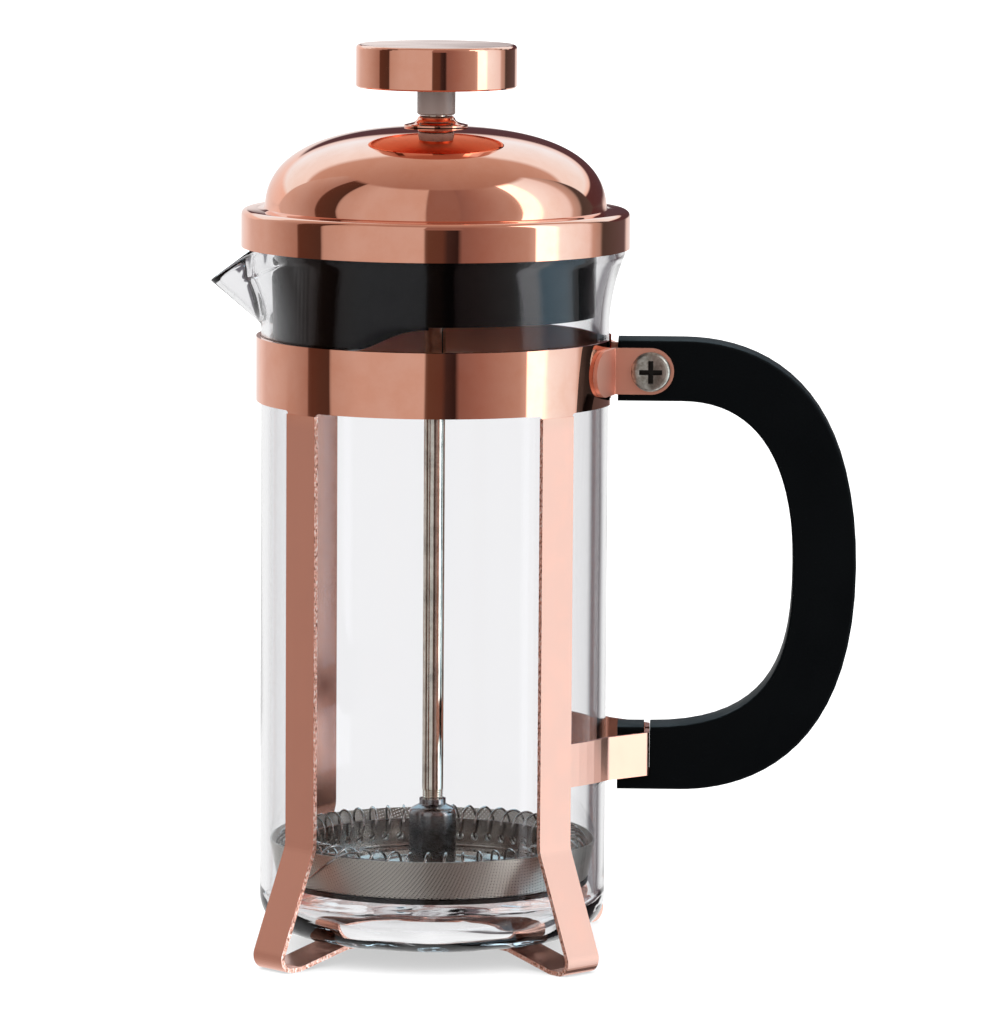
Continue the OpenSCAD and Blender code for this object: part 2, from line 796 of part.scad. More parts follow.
// The coil as a plain hollow ring, open where the spiral plate's rim passes into it
module coil_spring() {
    color(steel)
        rotate_extrude()
            difference() {
                translate([coil_r, coil_z]) circle(d = coil_d);
                translate([coil_r, coil_z]) circle(d = coil_d - 2 * wire_d);
                translate([spiral_rim_r - spiral_plate_t / 2 - 0.15, coil_z - coil_d])
                    square([spiral_plate_t + 0.3, coil_d]);
            }
}

module mesh_screen() {
    rim_z1 = mesh_z + mesh_h;
    color(steel)
        rotate_extrude()
            polygon([
                [nut_bore_r, mesh_z], [mesh_foot_r - 0.5, mesh_z], [mesh_foot_r, mesh_z + 0.5],
                [mesh_rim_r, rim_z1], [mesh_rim_r - mesh_t, rim_z1],
                [mesh_foot_r - mesh_t, mesh_z + 0.5 + mesh_t / 2],
                [mesh_foot_r - 0.5 - mesh_t, mesh_z + mesh_t], [nut_bore_r, mesh_z + mesh_t]
            ]);
}

module cross_plate() {
    rings = [[0.3, 6], [0.55, 12], [0.8, 18]];
    color(steel)
        difference() {
            translate([0, 0, cross_z]) ring(nut_bore_r, mesh_foot_r, cross_plate_t);
            for (row = rings)
                for (i = [0 : row[1] - 1])
                    rotate([0, 0, 360 * i / row[1]])
                        translate([row[0] * mesh_foot_r, 0, cross_z - 1])
                            cylinder(d = cross_hole_d, h = cross_plate_t + 2);
        }
}

module filter_stud() {
    color(steel) {
        translate([0, 0, cross_z - stud_head_t]) cylinder(r = stud_head_r, h = stud_head_t);
        translate([0, 0, cross_z - eps]) cylinder(r = thread_r, h = stud_top_z - cross_z + eps);
    }
}

frame_cage();
base_disc();
lug_front();
lug_rear();
handle();
handle_screw();
handle_nut();
glass_beaker();
lid_dome();
lid_insert();
rod_guide();
guide_nut();
plunger_rod();
knob_cap();
knob_core();
knob_insert();
filter_hub();
spiral_plate();
coil_spring();
mesh_screen();
cross_plate();
filter_stud();
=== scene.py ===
import math

import bmesh
import bpy
from mathutils import Matrix, Vector


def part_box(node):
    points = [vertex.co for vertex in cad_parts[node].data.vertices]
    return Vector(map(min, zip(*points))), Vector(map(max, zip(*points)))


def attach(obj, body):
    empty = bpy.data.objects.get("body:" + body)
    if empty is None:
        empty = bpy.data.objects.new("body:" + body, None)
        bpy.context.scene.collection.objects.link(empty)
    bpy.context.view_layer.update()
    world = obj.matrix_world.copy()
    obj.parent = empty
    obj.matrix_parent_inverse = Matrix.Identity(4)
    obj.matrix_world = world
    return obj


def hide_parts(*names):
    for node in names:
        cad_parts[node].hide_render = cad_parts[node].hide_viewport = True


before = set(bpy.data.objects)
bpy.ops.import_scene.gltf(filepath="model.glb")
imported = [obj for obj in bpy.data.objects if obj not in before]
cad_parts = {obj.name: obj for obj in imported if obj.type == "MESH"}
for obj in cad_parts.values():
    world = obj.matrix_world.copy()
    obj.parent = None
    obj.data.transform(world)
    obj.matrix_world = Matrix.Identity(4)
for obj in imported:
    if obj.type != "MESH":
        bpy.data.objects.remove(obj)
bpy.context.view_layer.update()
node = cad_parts
scene = bpy.context.scene


# ---- Studio ----
# The press stands on a pale table top in front of a white sweep. Soft boxes and a window light it,
# and grey walls between them give polished metal its stripes.


class Value:
    """A shader socket that can be used in sums."""

    def __init__(self, paint, socket):
        self.paint, self.socket = paint, socket

    def math(self, operation, *others):
        return self.paint.add("ShaderNodeMath", {"operation": operation}, *others)

    def __add__(self, other):
        return self.math("ADD", self, other)

    def __sub__(self, other):
        return self.math("SUBTRACT", self, other)

    def __rsub__(self, other):
        return self.math("SUBTRACT", other, self)

    def __mul__(self, other):
        return self.math("MULTIPLY", self, other)

    def __truediv__(self, other):
        return self.math("DIVIDE", self, other)

    __radd__ = __add__
    __rmul__ = __mul__

    def sin(self):
        return self.math("SINE", self)

    def root(self):
        return self.math("SQRT", self)

    def abs(self):
        return self.math("ABSOLUTE", self)

    def step(self, low, high, start=0.0, end=1.0):
        """Goes smoothly from start to end as this value goes from low to high."""
        settings = {"interpolation_type": "SMOOTHSTEP"}
        return self.paint.add("ShaderNodeMapRange", settings, self, low, high, start, end)


class Paint:
    """The node tree of one finish."""

    def __init__(self, owner):
        owner.use_nodes = True
        self.tree = owner.node_tree
        self.tree.nodes.clear()

    def add(self, kind, settings, *inputs, out=0, **named):
        """Adds a node. Settings are put on it first, then its sockets by order or by name."""
        made = self.tree.nodes.new(kind)
        stops = settings.pop("stops", None)
        for key, value in settings.items():
            setattr(made, key, value)
        if stops:
            ramp = made.color_ramp
            while len(ramp.elements) < len(stops):
                ramp.elements.new(1.0)
            for element, (place, colour) in zip(ramp.elements, stops):
                element.position = place
                element.color = (*colour, 1) if hasattr(colour, "__len__") else (colour,) * 3 + (1,)
        sockets = list(zip(made.inputs, inputs))
        sockets += [(made.inputs[key.replace("_", " ")], value) for key, value in named.items()]
        for socket, value in sockets:
            if value is None:
                continue
            if isinstance(value, Value):
                self.tree.links.new(value.socket, socket)
            elif socket.type == "RGBA":
                socket.default_value = (*value, 1)
            else:
                socket.default_value = value
        return Value(self, made.outputs[out]) if len(made.outputs) else made

    def mix(self, share, a, b):
        """Colour a where share is 0 and b where it is 1."""
        made = self.tree.nodes.new("ShaderNodeMix")
        made.data_type = "RGBA"
        for socket, value in ((made.inputs[0], share), (made.inputs[6], a), (made.inputs[7], b)):
            if isinstance(value, Value):
                self.tree.links.new(value.socket, socket)
            elif socket.type == "RGBA":
                socket.default_value = (*value, 1)
            else:
                socket.default_value = value
        return Value(self, made.outputs[2])

    def vector(self, operation, *inputs, out=0):
        return self.add("ShaderNodeVectorMath", {"operation": operation}, *inputs, out=out)

    def place(self, output=3):
        """Object coordinates, in metres."""
        return self.add("ShaderNodeTexCoord", {}, out=output)

    def split(self, vector):
        made = self.tree.nodes.new("ShaderNodeSeparateXYZ")
        self.tree.links.new(vector.socket, made.inputs[0])
        return [Value(self, socket) for socket in made.outputs]

    def noise(self, where, scale, detail=2.0, rough=0.5):
        return self.add("ShaderNodeTexNoise", {}, Vector=where, Scale=scale, Detail=detail,
                        Roughness=rough)

    def bump(self, height, distance, strength=1.0, normal=None):
        return self.add("ShaderNodeBump", {}, Strength=strength, Distance=distance,
                        Height=height, Normal=normal)


TURN = math.radians(2.3)
camera_data = bpy.data.cameras.new("camera")
camera_data.lens = 234.48
camera_data.sensor_width = 36
camera_data.clip_start = 0.05
camera_data.clip_end = 50
camera = bpy.data.objects.new("camera", camera_data)
scene.collection.objects.link(camera)
pan, pitch, roll = 0.0092, 0.1248, 0.0066
ahead = Vector((math.sin(pan) * math.cos(pitch), math.cos(pan) * math.cos(pitch), -math.sin(pitch)))
across = Vector((math.cos(pan), -math.sin(pan), 0))
spin = Matrix.Rotation(TURN, 3, "Z")
ahead, across = spin @ ahead, spin @ across
upward = across.cross(ahead)
right = math.cos(roll) * across + math.sin(roll) * upward
over = -math.sin(roll) * across + math.cos(roll) * upward
camera.matrix_world = Matrix.Translation(
    (1.336 * math.sin(TURN), -1.336 * math.cos(TURN), 0.2563)
) @ Matrix((right, over, -ahead)).transposed().to_4x4()
scene.camera = camera

table = bmesh.new()
bmesh.ops.create_grid(table, x_segments=8, y_segments=8, size=6)
table_mesh = bpy.data.meshes.new("table")
table.to_mesh(table_mesh)
table.free()
floor = bpy.data.objects.new("table", table_mesh)
scene.collection.objects.link(floor)
floor.visible_glossy = False
floor.visible_transmission = False
table_top = bpy.data.materials.new("table top")
paint = Paint(table_top)
grain = paint.noise(paint.place(), 40, 3)
matt = paint.add(
    "ShaderNodeBsdfDiffuse", {}, Color=paint.mix(grain, (0.9, 0.9, 0.9), (0.92, 0.92, 0.92))
)
glow = paint.add("ShaderNodeEmission", {}, (1.0, 1.0, 1.0), 1.0)
paint.add("ShaderNodeOutputMaterial", {}, paint.add("ShaderNodeMixShader", {}, 0.55, matt, glow))
floor.data.materials.append(table_top)

# How bright the studio is in each direction round the press, in degrees from the camera's side
ROUND = [
    (-180, 1.0), (-150, 0.9), (-140, 0.74), (-120, 0.66), (-108, (0.56, 0.53, 0.52)),
    (-95, (0.44, 0.38, 0.36)), (-90, (0.40, 0.33, 0.31)), (-88.5, (0.11, 0.06, 0.045)),
    (-71.5, (0.08, 0.05, 0.04)), (-70, (0.54, 0.5, 0.48)), (-50, 0.65), (-7, 0.665),
    (-5.5, (0.13, 0.08, 0.06)), (4, (0.12, 0.07, 0.055)), (7, (0.05, 0.035, 0.035)),
    (13, (0.03, 0.02, 0.02)), (15, (0.26, 0.18, 0.17)), (30, (0.35, 0.25, 0.23)),
    (56, (0.52, 0.47, 0.45)), (60.5, 0.66), (61.5, 2.9), (75, 2.9), (79, (1.1, 1.6, 1.9)),
    (103, (0.93, 1.17, 1.34)), (107, 0.6), (114, 0.45), (117, 0.08), (150, (0.14, 0.12, 0.13)),
    (156, 0.85), (180, 1.0),
]
# The same from the camera's side up, over the top and down behind the press
OVERHEAD = [
    (0, (0.42, 0.33, 0.30)), (60, (0.40, 0.31, 0.28)), (95, (0.50, 0.42, 0.38)),
    (124, (0.62, 0.56, 0.52)), (129, (1.0, 1.35, 1.55)), (156, (1.0, 1.45, 1.7)),
    (162, 0.95), (180, 0.9),
]
world = bpy.data.worlds.new("studio")
scene.world = world
paint = Paint(world)
x, y, z = paint.split(paint.place(0))
degrees = 180 / math.pi
azimuth = x.math("ARCTAN2", x, y * -1) * degrees - 2.3
height = x.math("ARCSINE", z) * degrees
climb = x.math("ARCTAN2", z.math("MAXIMUM", z, 0.0), y * -1) * degrees
walls = paint.add(
    "ShaderNodeValToRGB", {"stops": [((a + 180) / 360, c) for a, c in ROUND]}, (azimuth + 180) / 360
)
above = paint.add("ShaderNodeValToRGB", {"stops": [(a / 180, c) for a, c in OVERHEAD]}, climb / 180)
side = azimuth.abs()
stand = azimuth.step(-8, -5) * azimuth.step(15, 18, 1, 0) * height.step(2, 6)
walls = paint.mix(stand, walls, (0.30, 0.21, 0.19))
eaves = side.step(105, 135, 54, -1)
lifted = (height - eaves).step(-2, 3)
doorway = climb.step(161, 164) * (z + 0.9 * x).step(0.0, 0.06)
above = paint.mix(doorway, above, (0.10, 0.055, 0.065))
studio = paint.mix(lifted, walls, above)
sweep = (azimuth.step(-150, -140, 1, 0) + azimuth.step(168, 171)) * height.abs().step(24, 34, 1, 0)
path = paint.tree.nodes.new("ShaderNodeLightPath")
glossy = Value(paint, path.outputs["Is Glossy Ray"])
through = Value(paint, path.outputs["Is Transmission Ray"])
seen = Value(paint, path.outputs["Is Camera Ray"])
lit = paint.mix(through, (2.5, 2.5, 2.5), paint.mix(sweep, studio, (1.0, 1.0, 1.0)))
# What shows straight through the glass is white from every side. A dark card in each quarter turn
# draws the glass's edge.
quarter = azimuth.math("FLOORED_MODULO", azimuth, 90.0)
card = quarter.step(59, 62) * quarter.step(78, 81, 1, 0)
backdrop = paint.mix(card, (1.0, 1.0, 1.0), (0.17, 0.16, 0.18))
bounced = Value(paint, path.outputs["Glossy Depth"]) + Value(paint, path.outputs["Diffuse Depth"])
level = height.abs().step(24, 34, 1, 0) + height.step(-52, -44, 1, 0)
straight = through * (1 - bounced.math("MINIMUM", bounced, 1.0)) * level
lit = paint.mix(glossy, lit, studio)
lit = paint.mix(straight, lit, backdrop)
lit = paint.mix(seen, lit, (1.0, 1.0, 1.0))
paint.add("ShaderNodeOutputWorld", {}, paint.add("ShaderNodeBackground", {}, lit, 1.0))

scene.view_settings.view_transform = "Standard"
scene.cycles.max_bounces = 16
scene.cycles.transmission_bounces = 14
scene.cycles.glossy_bounces = 8
scene.cycles.transparent_max_bounces = 16
scene.cycles.caustics_reflective = False
scene.cycles.caustics_refractive = False


# ---- Cage ----
# The band, legs and lower arms are one stamping of copper-plated steel, folded under the beaker.
# The band is polished like a mirror, and the legs are left satin from the fold tools.


def finish(name, **fixed):
    """A new finish: its tree, and a function that joins its shader to the output."""
    made = bpy.data.materials.new(name)
    paint = Paint(made)

    def done(**sockets):
        sockets.update(fixed)
        paint.add(
            "ShaderNodeOutputMaterial", {}, paint.add("ShaderNodeBsdfPrincipled", {}, **sockets)
        )
        return made

    return paint, done


def dress(material, *pieces):
    for piece in pieces:
        piece.data.materials.clear()
        piece.data.materials.append(material)


COPPER = (0.92, 0.456, 0.327)
COPPER_DEEP = (0.88, 0.40, 0.27)


def polished_copper(name, satin=None, satin_rough=0.16):
    """Mirror copper with polishing haze. satin is the height under which it turns satin."""
    paint, done = finish(name)
    metal = 1.0
    where = paint.place()
    x, y, z = paint.split(where)
    haze = paint.noise(where, 160, 4, 0.6)
    wave = paint.noise(where, 55, 1)
    scratch = paint.noise(paint.vector("MULTIPLY", where, (900, 900, 5000)), 1.0, 2, 0.6)
    rough = 0.02 + haze.step(0.45, 0.75) * 0.045
    tone = paint.mix(haze.step(0.3, 0.8), COPPER, COPPER_DEEP)
    lift = scratch * 0.02
    if satin:
        dull = z.step(satin - 0.004, satin + 0.001, 1, 0)
        rough = rough + dull * (satin_rough + 0.06 * haze)
        lift = lift + dull * paint.noise(where, 2600, 2, 0.5) * 0.06
        facing = paint.add("ShaderNodeNewGeometry", {}, out=1)
        nx, ny, nz = paint.split(facing)
        along = (nx * x + ny * y) / (x * x + y * y).root()
        cut = (along * along + nz * nz).step(0.1, 0.4, 1, 0) * x.step(0.030, 0.033, 1, 0)
        torn = paint.noise(paint.vector("MULTIPLY", where, (2200, 2200, 1500)), 1.0, 3, 0.7)
        # Painted reflection: the band's inward faces are painted a deeper red and made less metallic than the
        # outside, though the real plating is the same copper on both sides.
        inner = along.step(-0.9, -0.7, 1, 0) * (1 - dull)
        rough = rough + cut * 0.2 + inner * 0.3
        lift = lift + cut * torn * 2
        tone = paint.mix(dull, tone, (0.86, 0.425, 0.315))
        tone = paint.mix(inner, tone, (0.92, 0.34, 0.20))
        # Painted glints and painted shade: the sheared edges get pale speckles as painted glints and dark
        # speckles as painted shade in the tears.
        tone = paint.mix(cut * torn.step(0.52, 0.62), tone, (0.26, 0.11, 0.08))
        tone = paint.mix(cut * torn.step(0.40, 0.48, 1, 0), tone, (1.0, 0.82, 0.74))
        metal = 1 - inner * 0.6
    return done(
        Base_Color=tone,
        Metallic=metal,
        Roughness=rough,
        Normal=paint.bump(lift, 0.00002, 0.6, paint.bump(wave, 0.0002, 0.35)),
    )


dress(polished_copper("cage copper", 0.1115), node["frame_cage"], node["base_disc"])


# ---- Lugs ----
# Two short straps of the same sheet are welded on the band and bent out along the handle.
# The screw pulls them tight on the handle's upper arm.

dress(polished_copper("lug copper", 0.2, 0.45), node["lug_front"], node["lug_rear"])


# ---- Handle ----
# A moulded loop of matt black phenolic plastic with eased edges. A slot near its lower end takes
# the hooked ends of the lower arms.


def bow(p0, p1, p2, p3, count=20):
    """Points along a cubic curve, without its first point."""
    p0, p1, p2, p3 = (Vector(p) for p in (p0, p1, p2, p3))
    points = []
    for i in range(1, count + 1):
        t = i / count
        s = 1 - t
        points.append(s ** 3 * p0 + 3 * s * s * t * p1 + 3 * s * t * t * p2 + t ** 3 * p3)
    return points


def bake(name, shape, body, material, smooth=None):
    """Makes a piece of a finished bmesh, in millimetres, and puts it on its body."""
    bmesh.ops.scale(shape, vec=(0.001, 0.001, 0.001), verts=shape.verts)
    mesh = bpy.data.meshes.new(name)
    shape.to_mesh(mesh)
    shape.free()
    piece = bpy.data.objects.new(name, mesh)
    scene.collection.objects.link(piece)
    mesh.materials.append(material)
    if smooth is not None:
        mesh.shade_smooth()
        mesh.set_sharp_from_angle(angle=math.radians(smooth))
    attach(piece, body)
    return piece


def spun(section, steps, closed=True):
    """A bmesh of a section, in radius and height, turned once round the press's axis."""
    shape = bmesh.new()
    rim = [shape.verts.new((r, 0, h)) for r, h in section]
    pairs = list(zip(rim, rim[1:]))
    if closed:
        pairs.append((rim[-1], rim[0]))
    edges = [shape.edges.new(pair) for pair in pairs]
    bmesh.ops.spin(shape, geom=rim + edges, cent=(0, 0, 0), axis=(0, 0, 1), angle=math.tau,
                   steps=steps, use_merge=True, use_duplicate=False)
    bmesh.ops.remove_doubles(shape, verts=shape.verts, dist=0.001)
    bmesh.ops.recalc_face_normals(shape, faces=shape.faces)
    return shape


def black_plastic(name, rough, tone, grain, depth, sheen=0.5):
    paint, done = finish(name, Specular_IOR_Level=sheen)
    where = paint.place()
    cloud = paint.noise(where, 70, 4, 0.6)
    fine = paint.noise(where, grain, 3, 0.6)
    return done(
        Base_Color=paint.mix(cloud, tone, [1.6 * c for c in tone]),
        Roughness=rough + 0.12 * cloud.step(0.35, 0.7) * rough / 0.4,
        Normal=paint.bump(fine, depth, 0.5),
    )


HALF = 5.5
TOP, LOW, END, FOOT, REACH = 124.3, 33.3, 36.9, 37.4, 85.15
MIDDLE = (TOP + LOW) / 2
UPPER = TOP - MIDDLE
UNDER, OVER = TOP - 12.2, LOW + 12.7
SLOT = (42.75, 43.95, 36.1)
BEND, LOW_BEND, INNER = REACH - 35.15, REACH - 41.15, REACH - 12.75
outline = [(END, UNDER), (END, TOP), (BEND, TOP)]
outline += bow((BEND, TOP), (BEND + 16.4, TOP), (REACH, MIDDLE + 0.8 * UPPER), (REACH, MIDDLE))
outline += bow((REACH, MIDDLE), (REACH, MIDDLE - 0.9 * UPPER), (BEND + 11, LOW), (BEND, LOW))
outline += [(FOOT, LOW), (FOOT, OVER), (SLOT[0], OVER), (SLOT[0], SLOT[2])]
outline += [(SLOT[1], SLOT[2]), (SLOT[1], OVER)]
outline += bow((LOW_BEND, OVER), (LOW_BEND + 26.4, OVER), (INNER, MIDDLE - 0.36 * UPPER),
               (INNER, MIDDLE))
outline += bow((INNER, MIDDLE), (INNER, MIDDLE + 0.52 * UPPER), (BEND + 13.3, UNDER), (BEND, UNDER))
shape = bmesh.new()
rim = [shape.verts.new((p[0], -HALF, p[1])) for p in outline]
side_face = shape.faces.new(rim)
grown = bmesh.ops.extrude_face_region(shape, geom=[side_face])
moved = [g for g in grown["geom"] if isinstance(g, bmesh.types.BMVert)]
bmesh.ops.translate(shape, vec=(0, 2 * HALF, 0), verts=moved)
bmesh.ops.recalc_face_normals(shape, faces=shape.faces)


def in_slot(v):
    return SLOT[0] - 0.01 <= v.co.x <= SLOT[1] + 0.01 and v.co.z > LOW + 1 and v.co.z < OVER + 1


eased = [
    e for e in shape.edges
    if abs(e.verts[0].co.y - e.verts[1].co.y) < 1e-6 and not (in_slot(e.verts[0]) and in_slot(e.verts[1]))
]
bmesh.ops.bevel(shape, geom=eased, offset=0.8, offset_type="OFFSET", segments=4, profile=0.5,
                affect="EDGES", material=-1, clamp_overlap=True)
handle = bake("handle_loop", shape, "frame",
              black_plastic("handle plastic", 0.45, (0.0004, 0.0009, 0.0013), 2600, 0.00004, 0.06),
              35)
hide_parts("handle")


# ---- Screw and nut ----
# A zinc-plated pan-head screw with a cross recess goes through both lugs and the handle.
# A plain hexagon nut holds it at the back. Grime mottles the plating, and the cross recess is painted near
# black as painted shade.


def steel(name, tone=(0.60, 0.59, 0.57), rough=0.22, streak=(60, 60, 4000), depth=0.00002, dark=0.72):
    """Bright steel with fine streaks. streak is how fine they are along each axis."""
    paint, done = finish(name, Metallic=1.0)
    where = paint.place()
    lines = paint.noise(paint.vector("MULTIPLY", where, streak), 1.0, 3, 0.6)
    cloud = paint.noise(where, 220, 4, 0.6)
    return done(
        Base_Color=paint.mix(cloud.step(0.35, 0.75), tone, [dark * c for c in tone]),
        Roughness=rough + 0.14 * lines.step(0.3, 0.7) * rough / 0.2,
        Normal=paint.bump(lines, depth, 0.6),
    )


low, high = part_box("handle_screw")
paint, done = finish("zinc plate", Metallic=1.0)
where = paint.place()
x, y, z = paint.split(where)
sideways = (x - 0.5 * (low[0] + high[0])).abs()
upright = (z - 0.5 * (low[2] + high[2])).abs()
bar = sideways.step(0.00047, 0.00056, 1, 0) * upright.step(0.0022, 0.0024, 1, 0)
post = upright.step(0.00047, 0.00056, 1, 0) * sideways.step(0.0022, 0.0024, 1, 0)
# Painted shade: the cross recess is painted near black where shade falls in it.
recess = bar.math("MAXIMUM", bar, post) * y.step(-0.0062, -0.0061, 1, 0)
grime = paint.noise(where, 900, 4, 0.6)
dress(
    done(
        Base_Color=paint.mix(
            recess, paint.mix(grime.step(0.35, 0.7), (0.44, 0.42, 0.38), (0.24, 0.22, 0.19)),
            (0.035, 0.033, 0.03),
        ),
        Roughness=0.22 + 0.2 * grime,
        Normal=paint.bump(grime, 0.00002, 0.6),
    ),
    node["handle_screw"], node["handle_nut"],
)


# ---- Beaker ----
# One piece of blown borosilicate glass: a thick floor, a thin wall, a flared lip and a spout pulled
# out of it. It stands on the folded legs inside the band.

RIM, FLARE, WALL = 147.6, 3.2, 1.7
BOW = (16 ** 2 + FLARE ** 2) / (2 * FLARE)
SWING = math.acos(1 - 0.95 * FLARE / BOW)
START = RIM - 6.6 - BOW * math.sin(SWING)


def wall(inset, edge, base, dish):
    """The wall's section from the middle of the floor up to the lip."""
    r = 35 - inset
    points = [(0, base + dish), (0.5 * (r - edge), base + 0.8 * dish), (0.85 * (r - edge), base + 0.2 * dish)]
    for i in range(13):
        a = math.radians(-90 + 7.5 * i)
        points.append((r - edge + edge * math.cos(a), base + edge + edge * math.sin(a)))
    points += [(r, base + edge + (START - base - edge) * i / 24) for i in range(1, 24)]
    for i in range(17):
        a = SWING * i / 16
        points.append((r + BOW * (1 - math.cos(a)), START + BOW * math.sin(a)))
    lip = points[-1][0]
    points += bow((lip, RIM - 6.6), (r + 0.99 * FLARE, RIM - 6.2), (r + FLARE, RIM - 5.8),
                  (r + FLARE, RIM - 4.6), 6)
    return points + [(r + FLARE, RIM - 3), (r + FLARE, RIM - 1.6), (r + FLARE, RIM - 0.85)]


section = wall(0, 7, 3.8, 0.9)
section += [(37.35 + 0.85 * math.cos(math.radians(a)), RIM - 0.85 + 0.85 * math.sin(math.radians(a)))
            for a in (30, 60, 90, 120, 150)]
section += wall(WALL, 5.3, 6.8, 0.5)[::-1]
shape = spun(section, 256, closed=False)

# The spout is drawn out of the soft lip: the wall swells towards a tip, and the edge dips to it.
TIP, TIP_DROP, FOOT_OF_SPOUT = 45.6, 12.2, 125.0
for v in shape.verts:
    away = abs(math.atan2(v.co.y, -v.co.x))
    if v.co.z <= FOOT_OF_SPOUT or away > math.radians(45):
        continue
    share = (v.co.z - FOOT_OF_SPOUT) / (RIM - FOOT_OF_SPOUT)
    u = min(1, away / math.radians(19))
    swell = (1 - u * u * (3 - 2 * u)) ** 1.4
    out = math.hypot(v.co.x, v.co.y)
    angle = math.asin(min(1, max(0, v.co.z - START) / BOW))
    outer = 35 + min(FLARE, BOW * (1 - math.cos(angle)))
    push = max(0, 33.2 + 12.4 * share - outer) * swell
    top_out = 38.2 + (TIP - 38.2) * swell
    edge = min(RIM, RIM - TIP_DROP + (TIP - top_out * math.cos(away)) * 0.7107)
    grown = (out + push) / out
    v.co = (v.co.x * grown, v.co.y * grown, FOOT_OF_SPOUT + share * (edge - FOOT_OF_SPOUT))

paint, done = finish("clear glass", Transmission_Weight=1.0, IOR=1.47, Specular_Tint=(0.25, 0.25, 0.27))
where = paint.place()
x, y, z = paint.split(where)
wave = paint.noise(paint.vector("MULTIPLY", where, (1.0, 1.0, 0.35)), 45, 1)
ripple = paint.noise(paint.vector("MULTIPLY", where, (1.0, 1.0, 2.5)), 62, 1, 0.5)
smear = paint.noise(where, 90, 3, 0.6)
foot = z.step(0.009, 0.013, 1, 0)
beaker = bake(
    "beaker_glass", shape, "beaker",
    done(
        Base_Color=paint.mix(smear, (0.938, 0.937, 0.948), (0.948, 0.949, 0.957)),
        Roughness=smear.step(0.5, 0.8) * 0.012,
        Normal=paint.bump(foot * ripple, 0.002, 0.7, paint.bump(wave, 0.0003, 0.2)),
    ),
    50,
)
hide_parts("glass_beaker")


# ---- Lid ----
# A spun copper-plated dome with a flat ledge and a skirt that drops over the lip. A glossy black
# moulding inside it locates the lid and has a ribbed tongue that strains the spout.

SKIRT, LEDGE, DOME, PEAK, SHEET = 39.06, 150.0, 34.36, 166.6, 0.6


def lid_line(inset):
    """The lid's section from the skirt's edge over the dome to the hole for the rod guide."""
    r, h, base, peak = SKIRT - inset, LEDGE - inset, DOME - inset, PEAK - inset
    edge = 1.2 - inset
    points = [(r, 142.3 + 0.1), (r, 145), (r, h - edge)]
    for i in range(1, 9):
        a = math.radians(11.25 * i)
        points.append((r - edge + edge * math.cos(a), h - edge + edge * math.sin(a)))
    points += [(base + 1.5, h), (base + 0.5, h + 0.03), (base + 0.12, h + 0.2)]
    dome = bow((base, h), (base, h + 0.98 * 16.6), (0.24 * base, peak), (0, peak), 60)
    return points + [p for p in dome if p[0] > 3.4] + [(3.35, peak)]


shape = spun(lid_line(0) + lid_line(SHEET)[::-1], 192)
lid_copper = polished_copper("lid copper")
lid = bake("lid_shell", shape, "lid", lid_copper, 40)
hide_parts("lid_dome")
dress(lid_copper, node["rod_guide"])
dress(black_plastic("insert plastic", 0.12, (0.0006, 0.0008, 0.0012), 900, 0.00001, 0.2),
      node["lid_insert"])
dress(steel("guide nut steel", rough=0.3), node["guide_nut"])


# ---- Rod and knob ----
# A drawn steel rod slides through the lid. A grey plastic core is moulded on a brass insert and
# screwed on its end, and a drawn copper-plated cap is pressed over it. The core's disc, under the
# cap, is painted to match it.

dress(polished_copper("knob copper"), node["knob_cap"])
paint, done = finish("grey plastic", Specular_IOR_Level=0.5)
where = paint.place()
cloud = paint.noise(where, 120, 4, 0.6)
plated = paint.split(where)[2].step(0.1738, 0.1741)
grey = paint.mix(cloud, (0.24, 0.165, 0.14), (0.30, 0.215, 0.19))
dress(
    done(
        Base_Color=paint.mix(plated, grey, (0.85, 0.36, 0.22)),
        Metallic=plated,
        Roughness=0.3 + 0.15 * cloud,
        Normal=paint.bump(paint.noise(where, 1800, 2), 0.00002, 0.4),
    ),
    node["knob_core"],
)
paint, done = finish("brass", Metallic=1.0)
where = paint.place()
knurl = paint.noise(paint.vector("MULTIPLY", where, (2500, 2500, 300)), 1.0, 2)
dress(
    done(
        Base_Color=paint.mix(knurl, (0.80, 0.58, 0.24), (0.62, 0.43, 0.17)),
        Roughness=0.25 + 0.2 * knurl,
        Normal=paint.bump(knurl, 0.00005, 0.6),
    ),
    node["knob_insert"],
)
rod_steel = steel("rod steel", (0.85, 0.80, 0.71), 0.07, (1600, 1600, 30), 0.00003, 0.6)
dress(rod_steel, node["plunger_rod"])
thread = [(1.7, 30.3)] + [(1.95 + 0.22 * (i % 2), 30.35 + 0.24 * i) for i in range(9)] + [(1.7, 32.4)]
bake("rod_thread", spun(thread, 48), "plunger", rod_steel, 30)


# ---- Filter ----
# The rod's hub clamps a stack of stainless parts: the spiral plate, the woven mesh and the plate
# under it. A stud from below screws into the hub and holds them.

dress(steel("hub steel", (0.36, 0.355, 0.36), 0.14, (600, 600, 5000), 0.000004),
      node["filter_hub"], node["filter_stud"])
dress(steel("plate steel", (0.50, 0.48, 0.45), 0.16, (700, 700, 700), 0.000004), node["spiral_plate"])
dress(steel("dark plate steel", (0.05, 0.048, 0.046), 0.35, (700, 700, 700)), node["cross_plate"])

# The coil is one long spring of thin wire, threaded through the holes in the spiral plate's rim
# and bent into a ring. It presses the mesh against the glass.
TURNS, RING, LOOP, LEVEL, WIRE = 52, 28.35, 3.3, 20.6, 0.25
PHASE = math.radians(50.5)


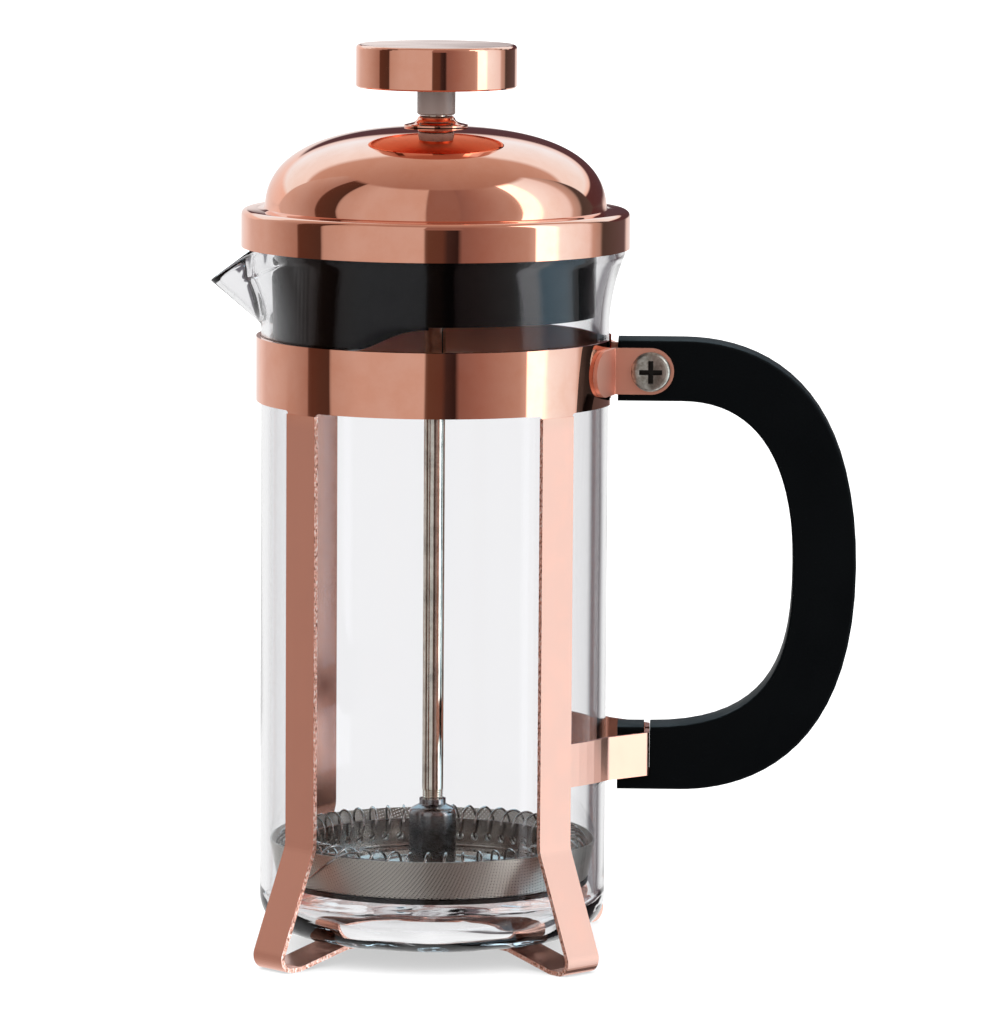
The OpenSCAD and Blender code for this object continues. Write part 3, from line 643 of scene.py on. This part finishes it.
def wire(route, radius, sides, joined=False):
    """A bmesh of round wire along a route of points. joined closes it into a ring."""
    curve = bpy.data.curves.new("wire", "CURVE")
    curve.dimensions = "3D"
    curve.bevel_depth = radius
    curve.bevel_resolution = sides
    curve.use_fill_caps = True
    line = curve.splines.new("POLY")
    line.points.add(len(route) - 1)
    for point, place in zip(line.points, route):
        point.co = (*place, 1)
    line.use_cyclic_u = joined
    holder = bpy.data.objects.new("wire", curve)
    scene.collection.objects.link(holder)
    shape = bmesh.new()
    shape.from_mesh(holder.to_mesh())
    holder.to_mesh_clear()
    bpy.data.objects.remove(holder)
    return shape


route = []
for i in range(TURNS * 26):
    turn = math.tau * i / (TURNS * 26)
    loop = TURNS * turn + PHASE
    out = RING + LOOP * math.cos(loop)
    route.append((out * math.cos(turn), out * math.sin(turn), LEVEL + LOOP * math.sin(loop)))
shape = wire(route, WIRE, 1, joined=True)
bmesh.ops.remove_doubles(shape, verts=shape.verts, dist=0.001)
spring_steel = steel("spring wire", (0.50, 0.48, 0.46), 0.1, (500, 500, 500))
coil = bake("coil_wire", shape, "plunger", spring_steel, 60)
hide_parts("coil_spring")

# The spring's loose end slips over the hem and lies between the mesh and the glass.
# Its path is given by the angle from the front, the distance from the axis and the height.
START_OF_END = (-26, 30.2, 23.6)
route = []
for a, out, h in [START_OF_END] + bow(START_OF_END, (-30, 33.3, 24.2), (-34, 33.0, 22.0),
                                      (-47, 32.7, 16.8), 24):
    turn = math.radians(a)
    route.append((out * math.sin(turn), -out * math.cos(turn), h))
bake("coil_end", wire(route, 0.22, 2), "plunger", spring_steel, 60)

# A dish of plain-woven stainless wire with a folded hem. It is pressed to shape and wipes the glass.
SCREEN = [(2.1, 14.9), (30.9, 14.9), (31.45, 15.1), (31.65, 15.5), (32.95, 22.5), (32.98, 22.8),
          (32.62, 22.8), (32.58, 22.5), (31.3, 15.6), (31.15, 15.32), (30.8, 15.25), (2.1, 15.25)]
shape = spun(SCREEN, 128)
paint, done = finish("woven mesh", Metallic=1.0)
where = paint.place()
x, y, z = paint.split(where)
stretch = 1 + (z - 0.0149) / (x * x + y * y).root()
PITCH, SLANT = 0.00074, math.radians(33)
warp = ((x * math.cos(SLANT) + y * math.sin(SLANT)) * stretch * (math.pi / PITCH)).sin().abs()
weft = ((y * math.cos(SLANT) - x * math.sin(SLANT)) * stretch * (math.pi / PITCH)).sin().abs()
threads = warp.math("MAXIMUM", warp, weft)
cloud = paint.noise(where, 180, 4, 0.6)
# Painted highlight and painted shade: each wire is painted pale along its crown and near black towards its
# edges and the gaps between wires.
screen = bake(
    "mesh_dish", shape, "plunger",
    done(
        Base_Color=paint.mix(threads.step(0.7, 0.98), (0.03, 0.026, 0.022), (0.70, 0.66, 0.60)),
        Roughness=0.3 + 0.15 * cloud,
        Alpha=threads.step(0.76, 0.86),
        Normal=paint.bump(threads, 0.0001, 0.8),
    ),
    30,
)
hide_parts("mesh_screen")
